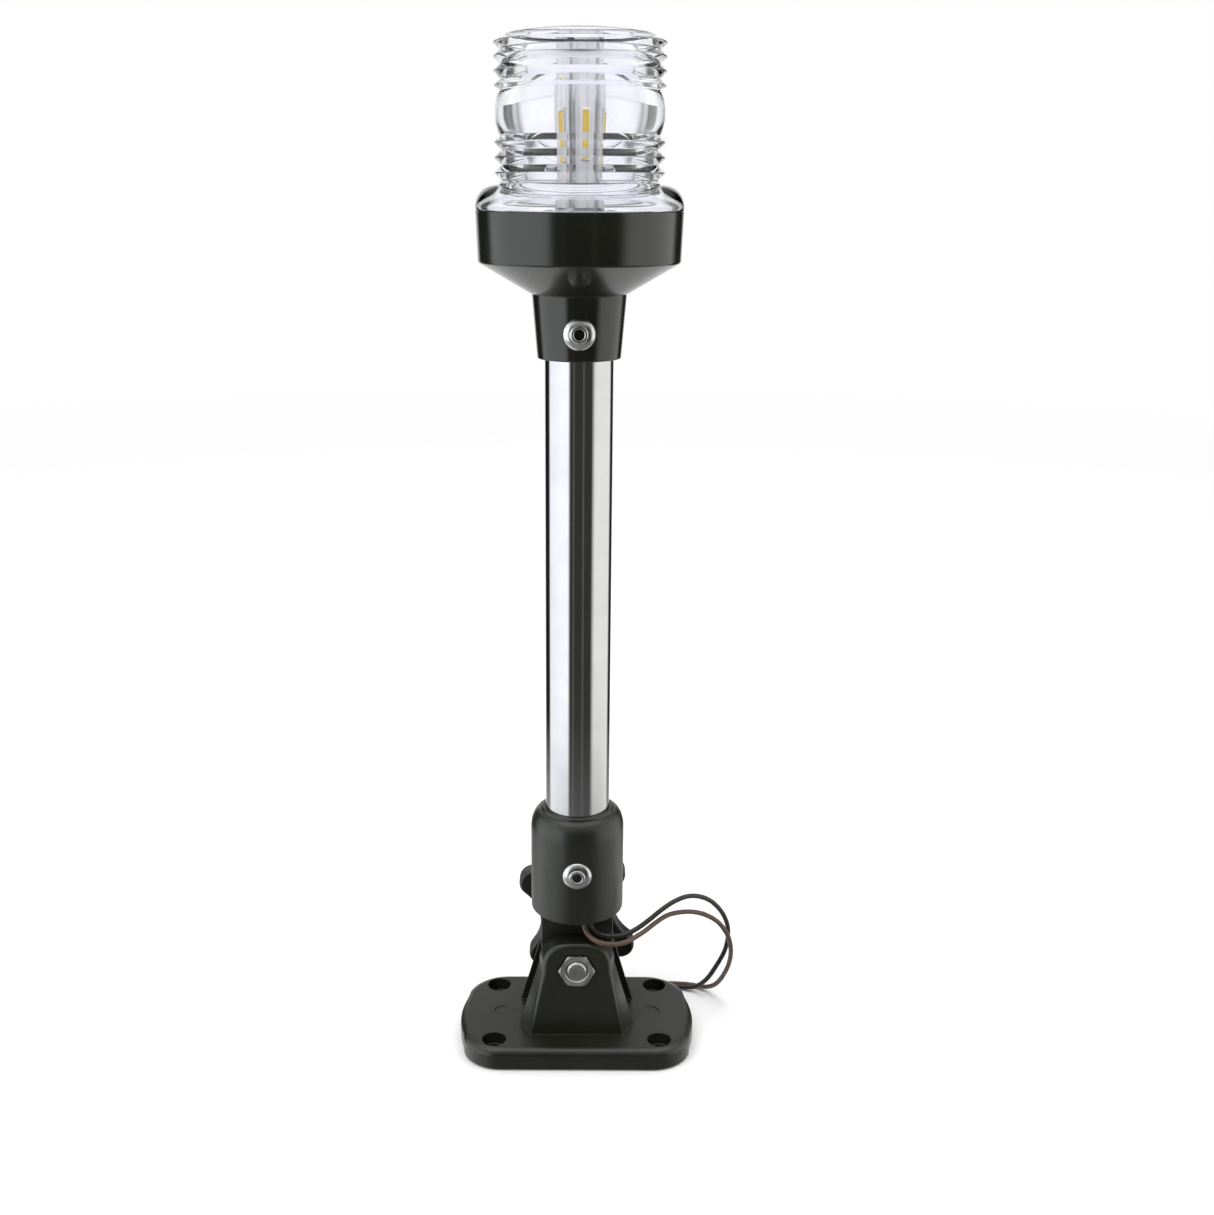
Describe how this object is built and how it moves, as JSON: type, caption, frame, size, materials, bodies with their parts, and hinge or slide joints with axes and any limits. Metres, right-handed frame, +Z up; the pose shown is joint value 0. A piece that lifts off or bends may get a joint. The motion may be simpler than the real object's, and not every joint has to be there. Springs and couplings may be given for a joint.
{
  "type": "fold-down navigation light",
  "caption": "Fold-down all-round boat light: clear ribbed lens on a black housing and bright tube, hinged to a screw-down deck base with a clamp knob and wire leads.",
  "frame": {"origin": "centre of the mounting base's underside, on the deck, midway between the four screw holes", "axes": "+Z up along the tube when the light stands, +X along the base's long side, +Y towards the clamp knob"},
  "size_m": [0.1151, 0.0926, 0.3934],
  "materials": {
    "black_plastic": "satin moulded",
    "black_gloss": "gloss moulded",
    "knob_plastic": "satin moulded",
    "polished_tube": "polished",
    "stainless": "machined",
    "dark_steel": "raw",
    "aluminium": "satin",
    "clear_lens": "clear moulded",
    "rubber": "matt",
    "black_insulation": "smooth PVC",
    "brown_insulation": "smooth PVC",
    "red_insulation": "smooth PVC",
    "circuit_board": "solder mask",
    "capacitor_sleeve": "sleeve",
    "ferrite": "sintered",
    "chip_black": "moulded",
    "white_board": "solder mask",
    "led_phosphor": "silicone"
  },
  "bodies": {
    "base": {"mounting_base": "black_plastic", "pivot_nut": "stainless", "black_wire_run": "black_insulation", "brown_wire_run": "brown_insulation", "wire_coil": "black_insulation"},
    "mast": {"mast_socket": "black_plastic", "wire_grommet": "rubber", "mast_tube": "polished_tube", "rivet_shells": "aluminium", "rivet_mandrels": "dark_steel", "lead_pair": "black_insulation", "tube_plug": "rubber", "lamp_housing": "black_gloss", "light_deck": "black_gloss", "lens_seal": "rubber", "lens": "clear_lens", "driver_board": "circuit_board", "driver_capacitors": "capacitor_sleeve", "driver_inductor": "ferrite", "driver_chips": "chip_black", "board_screws": "stainless", "tower_leads": "red_insulation", "led_tower": "aluminium", "led_boards": "white_board", "led_chips": "led_phosphor", "tower_screws": "stainless"},
    "clamp_washer": {"knob_washer": "stainless"},
    "knob": {"star_knob": "knob_plastic", "knob_stud": "stainless"}
  },
  "joints": [
    {"name": "mast_fold", "type": "hinge", "parent": "base", "child": "mast", "pos_m": [0, 0, 0.0386], "axis": [0, 1, 0], "range_deg": [-90, 0]},
    {"name": "knob_backoff", "type": "slide", "parent": "base", "child": "clamp_washer", "axis": [0, 1, 0], "range_m": [0, 0.0025]},
    {"name": "knob_turn", "type": "hinge", "parent": "clamp_washer", "child": "knob", "pos_m": [0, 0, 0.0386], "axis": [0, 1, 0], "range_deg": [0, 720]}
  ],
  "couplings": [
    {"joint": "knob_backoff", "follows": "knob_turn", "m_per_rad": 0.00019894}
  ]
}
